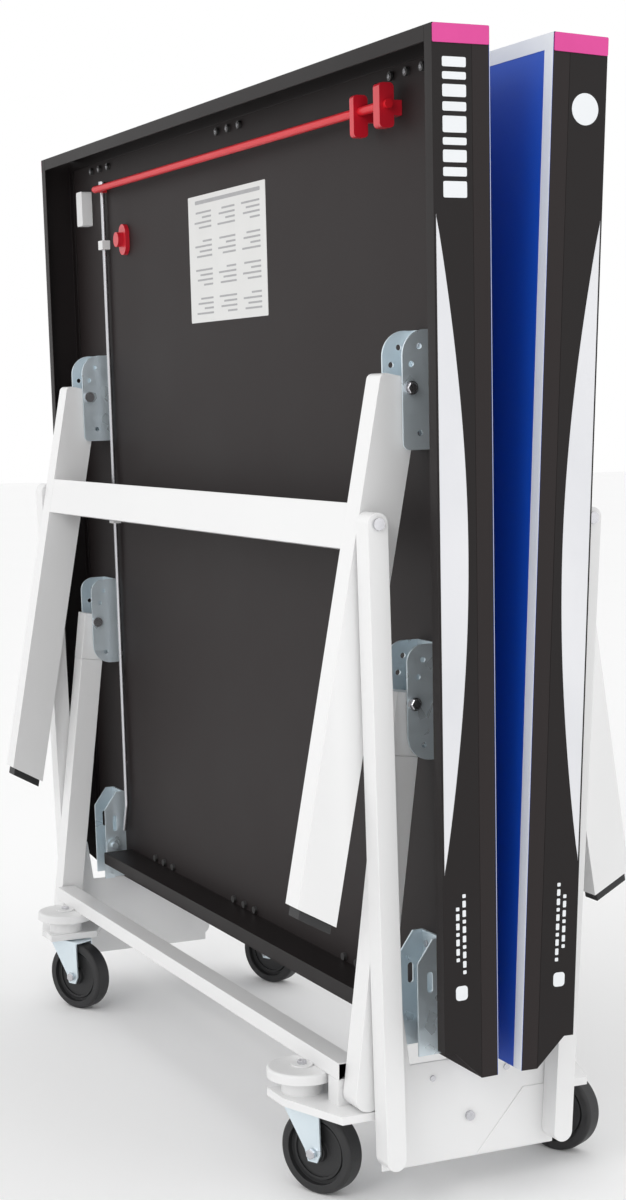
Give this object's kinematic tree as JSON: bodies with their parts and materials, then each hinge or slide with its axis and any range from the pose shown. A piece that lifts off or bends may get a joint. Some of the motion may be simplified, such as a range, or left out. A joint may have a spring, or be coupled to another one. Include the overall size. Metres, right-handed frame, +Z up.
{
  "type": "folding table tennis table",
  "caption": "Rollaway table tennis table folded for storage: hinged playing halves on a white castored trolley with folding legs.",
  "frame": {"origin": "on the floor at the centre of the trolley, below the fold line", "axes": "+Z up, X across the fold with the left half at -X, Y along the net line"},
  "size_m": [0.532, 1.528, 1.5807],
  "materials": {
    "board": "dark painted underside, blue playing face",
    "apron": "satin near-black",
    "pink_cap": "plain pink",
    "screw": "dark zinc",
    "zinc": "bright zinc",
    "bolt": "bright steel",
    "black_steel": "satin black",
    "white_metal": "gloss white powder coat",
    "white_plastic": "white",
    "black_rubber": "matt black",
    "red_plastic": "red",
    "red_metal": "red"
  },
  "bodies": {
    "trolley": {"trolley_beams": "white_metal", "side_panels": "white_metal", "castor_arms": "white_metal", "castor_caps": "white_plastic", "trolley_bolts": "bolt"},
    "left_net_rod": {"left_net_rod": "black_steel"},
    "left_top": {"left_board": "board", "left_side_rails": "apron", "left_end_rail": "apron", "left_net_rail": "apron", "left_corner_caps": "pink_cap", "left_rail_screws": "screw", "left_leg_brackets": "zinc", "left_stay_brackets": "zinc", "left_latch_brackets": "zinc", "left_pivot_pins": "bolt", "left_release_fittings": "red_plastic", "left_rod_guides": "white_plastic"},
    "left_legs": {"left_legs": "white_metal", "left_crossbar": "white_metal", "left_leg_feet": "black_rubber", "left_strut_pins": "bolt"},
    "left_struts": {"left_struts": "white_metal"},
    "left_stay_sliders": {"left_stay_sliders": "white_metal"},
    "left_stay_tubes": {"left_stay_tubes": "white_metal"},
    "left_release": {"left_release_bar": "red_metal"},
    "left_latch_rod": {"left_latch_rod": "bolt"},
    "left_hook": {"left_latch_hook": "zinc"},
    "right_net_rod": {"right_net_rod": "black_steel"},
    "right_top": {"right_board": "board", "right_side_rails": "apron", "right_end_rail": "apron", "right_net_rail": "apron", "right_corner_caps": "pink_cap", "right_rail_screws": "screw", "right_leg_brackets": "zinc", "right_stay_brackets": "zinc", "right_latch_brackets": "zinc", "right_pivot_pins": "bolt", "right_release_fittings": "red_plastic", "right_rod_guides": "white_plastic"},
    "right_legs": {"right_legs": "white_metal", "right_crossbar": "white_metal", "right_leg_feet": "black_rubber", "right_strut_pins": "bolt"},
    "right_struts": {"right_struts": "white_metal"},
    "right_stay_sliders": {"right_stay_sliders": "white_metal"},
    "right_stay_tubes": {"right_stay_tubes": "white_metal"},
    "right_release": {"right_release_bar": "red_metal"},
    "right_latch_rod": {"right_latch_rod": "bolt"},
    "right_hook": {"right_latch_hook": "zinc"},
    "left_near_castor": {"left_near_fork": "zinc"},
    "left_near_castor_wheel": {"left_near_wheel": "black_rubber"},
    "left_far_castor": {"left_far_fork": "zinc"},
    "left_far_castor_wheel": {"left_far_wheel": "black_rubber"},
    "right_near_castor": {"right_near_fork": "zinc"},
    "right_near_castor_wheel": {"right_near_wheel": "black_rubber"},
    "right_far_castor": {"right_far_fork": "zinc"},
    "right_far_castor_wheel": {"right_far_wheel": "black_rubber"}
  },
  "joints": [
    {"name": "left_net_rise", "type": "slide", "parent": "trolley", "child": "left_net_rod", "axis": [0.0508, 0, 0.9987], "range_m": [0, 0.5003]},
    {"name": "left_fold", "type": "hinge", "parent": "left_net_rod", "child": "left_top", "pos_m": [-0.04942, 0, 0.23036], "axis": [0, -1, 0], "range_deg": [0, 88.78]},
    {"name": "left_leg_swing", "type": "hinge", "parent": "left_top", "child": "left_legs", "pos_m": [-0.1027, 0, 1.13543], "axis": [0, 1, 0], "range_deg": [0, 60.05]},
    {"name": "left_strut_swing", "type": "hinge", "parent": "left_legs", "child": "left_struts", "pos_m": [-0.16617, 0, 0.95978], "axis": [0, -1, 0], "range_deg": [0, 29.97]},
    {"name": "left_stay_swing", "type": "hinge", "parent": "left_top", "child": "left_stay_sliders", "pos_m": [-0.09574, 0, 0.71448], "axis": [0, 1, 0], "range_deg": [0, 48.76]},
    {"name": "left_stay_reach", "type": "slide", "parent": "left_stay_sliders", "child": "left_stay_tubes", "axis": [-0.1126, 0, -0.9936], "range_m": [0, 0.0819]},
    {"name": "left_latch_lift", "type": "slide", "parent": "left_top", "child": "left_latch_rod", "axis": [-0.0213, 0, 0.9998], "range_m": [0, 0.0066]},
    {"name": "left_release_turn", "type": "hinge", "parent": "left_top", "child": "left_release", "pos_m": [-0.09463, 0, 1.50768], "axis": [0, -1, 0], "range_deg": [0, 25]},
    {"name": "left_hook_turn", "type": "hinge", "parent": "left_top", "child": "left_hook", "pos_m": [-0.07248, 0.5965, 0.27988], "axis": [0, -1, 0], "range_deg": [0, 15.1]},
    {"name": "right_net_rise", "type": "slide", "parent": "trolley", "child": "right_net_rod", "axis": [-0.0508, 0, 0.9987], "range_m": [0, 0.5003]},
    {"name": "right_fold", "type": "hinge", "parent": "right_net_rod", "child": "right_top", "pos_m": [0.04942, 0, 0.23036], "axis": [0, 1, 0], "range_deg": [0, 88.78]},
    {"name": "right_leg_swing", "type": "hinge", "parent": "right_top", "child": "right_legs", "pos_m": [0.1027, 0, 1.13543], "axis": [0, -1, 0], "range_deg": [0, 60.05]},
    {"name": "right_strut_swing", "type": "hinge", "parent": "right_legs", "child": "right_struts", "pos_m": [0.16617, 0, 0.95978], "axis": [0, 1, 0], "range_deg": [0, 29.97]},
    {"name": "right_stay_swing", "type": "hinge", "parent": "right_top", "child": "right_stay_sliders", "pos_m": [0.09574, 0, 0.71448], "axis": [0, -1, 0], "range_deg": [0, 48.76]},
    {"name": "right_stay_reach", "type": "slide", "parent": "right_stay_sliders", "child": "right_stay_tubes", "axis": [0.1126, 0, -0.9936], "range_m": [0, 0.0819]},
    {"name": "right_latch_lift", "type": "slide", "parent": "right_top", "child": "right_latch_rod", "axis": [0.0213, 0, 0.9998], "range_m": [0, 0.0066]},
    {"name": "right_release_turn", "type": "hinge", "parent": "right_top", "child": "right_release", "pos_m": [0.09463, 0, 1.50768], "axis": [0, 1, 0], "range_deg": [0, 25]},
    {"name": "right_hook_turn", "type": "hinge", "parent": "right_top", "child": "right_hook", "pos_m": [0.07248, -0.5965, 0.27988], "axis": [0, 1, 0], "range_deg": [0, 15.1]},
    {"name": "left_near_swivel", "type": "hinge", "parent": "trolley", "child": "left_near_castor", "pos_m": [-0.2, -0.52, 0.145], "axis": [0, 0, 1], "continuous": true},
    {"name": "left_near_roll", "type": "hinge", "parent": "left_near_castor", "child": "left_near_castor_wheel", "pos_m": [-0.18411, -0.55119, 0.0625], "axis": [-0.891, -0.454, 0], "continuous": true},
    {"name": "left_far_swivel", "type": "hinge", "parent": "trolley", "child": "left_far_castor", "pos_m": [-0.2, 0.52, 0.145], "axis": [0, 0, 1], "continuous": true},
    {"name": "left_far_roll", "type": "hinge", "parent": "left_far_castor", "child": "left_far_castor_wheel", "pos_m": [-0.18411, 0.48881, 0.0625], "axis": [-0.891, -0.454, 0], "continuous": true},
    {"name": "right_near_swivel", "type": "hinge", "parent": "trolley", "child": "right_near_castor", "pos_m": [0.2, -0.52, 0.145], "axis": [0, 0, 1], "continuous": true},
    {"name": "right_near_roll", "type": "hinge", "parent": "right_near_castor", "child": "right_near_castor_wheel", "pos_m": [0.21589, -0.55119, 0.0625], "axis": [-0.891, -0.454, 0], "continuous": true},
    {"name": "right_far_swivel", "type": "hinge", "parent": "trolley", "child": "right_far_castor", "pos_m": [0.2, 0.52, 0.145], "axis": [0, 0, 1], "continuous": true},
    {"name": "right_far_roll", "type": "hinge", "parent": "right_far_castor", "child": "right_far_castor_wheel", "pos_m": [0.21589, 0.48881, 0.0625], "axis": [-0.891, -0.454, 0], "continuous": true}
  ],
  "couplings": [
    {"joint": "left_net_rise", "follows": "left_fold", "m_per_rad": 0.32287},
    {"joint": "left_leg_swing", "follows": "left_fold", "ratio": 0.67622},
    {"joint": "left_strut_swing", "follows": "left_fold", "ratio": 0.33733},
    {"joint": "left_stay_swing", "follows": "left_fold", "ratio": 0.54911},
    {"joint": "left_stay_reach", "follows": "left_fold", "m_per_rad": 0.052829},
    {"joint": "left_release_turn", "follows": "left_latch_lift", "rad_per_m": 66},
    {"joint": "left_hook_turn", "follows": "left_latch_lift", "rad_per_m": 39},
    {"joint": "right_net_rise", "follows": "right_fold", "m_per_rad": 0.32287},
    {"joint": "right_leg_swing", "follows": "right_fold", "ratio": 0.67622},
    {"joint": "right_strut_swing", "follows": "right_fold", "ratio": 0.33733},
    {"joint": "right_stay_swing", "follows": "right_fold", "ratio": 0.54911},
    {"joint": "right_stay_reach", "follows": "right_fold", "m_per_rad": 0.052829},
    {"joint": "right_release_turn", "follows": "right_latch_lift", "rad_per_m": 66},
    {"joint": "right_hook_turn", "follows": "right_latch_lift", "rad_per_m": 39}
  ]
}
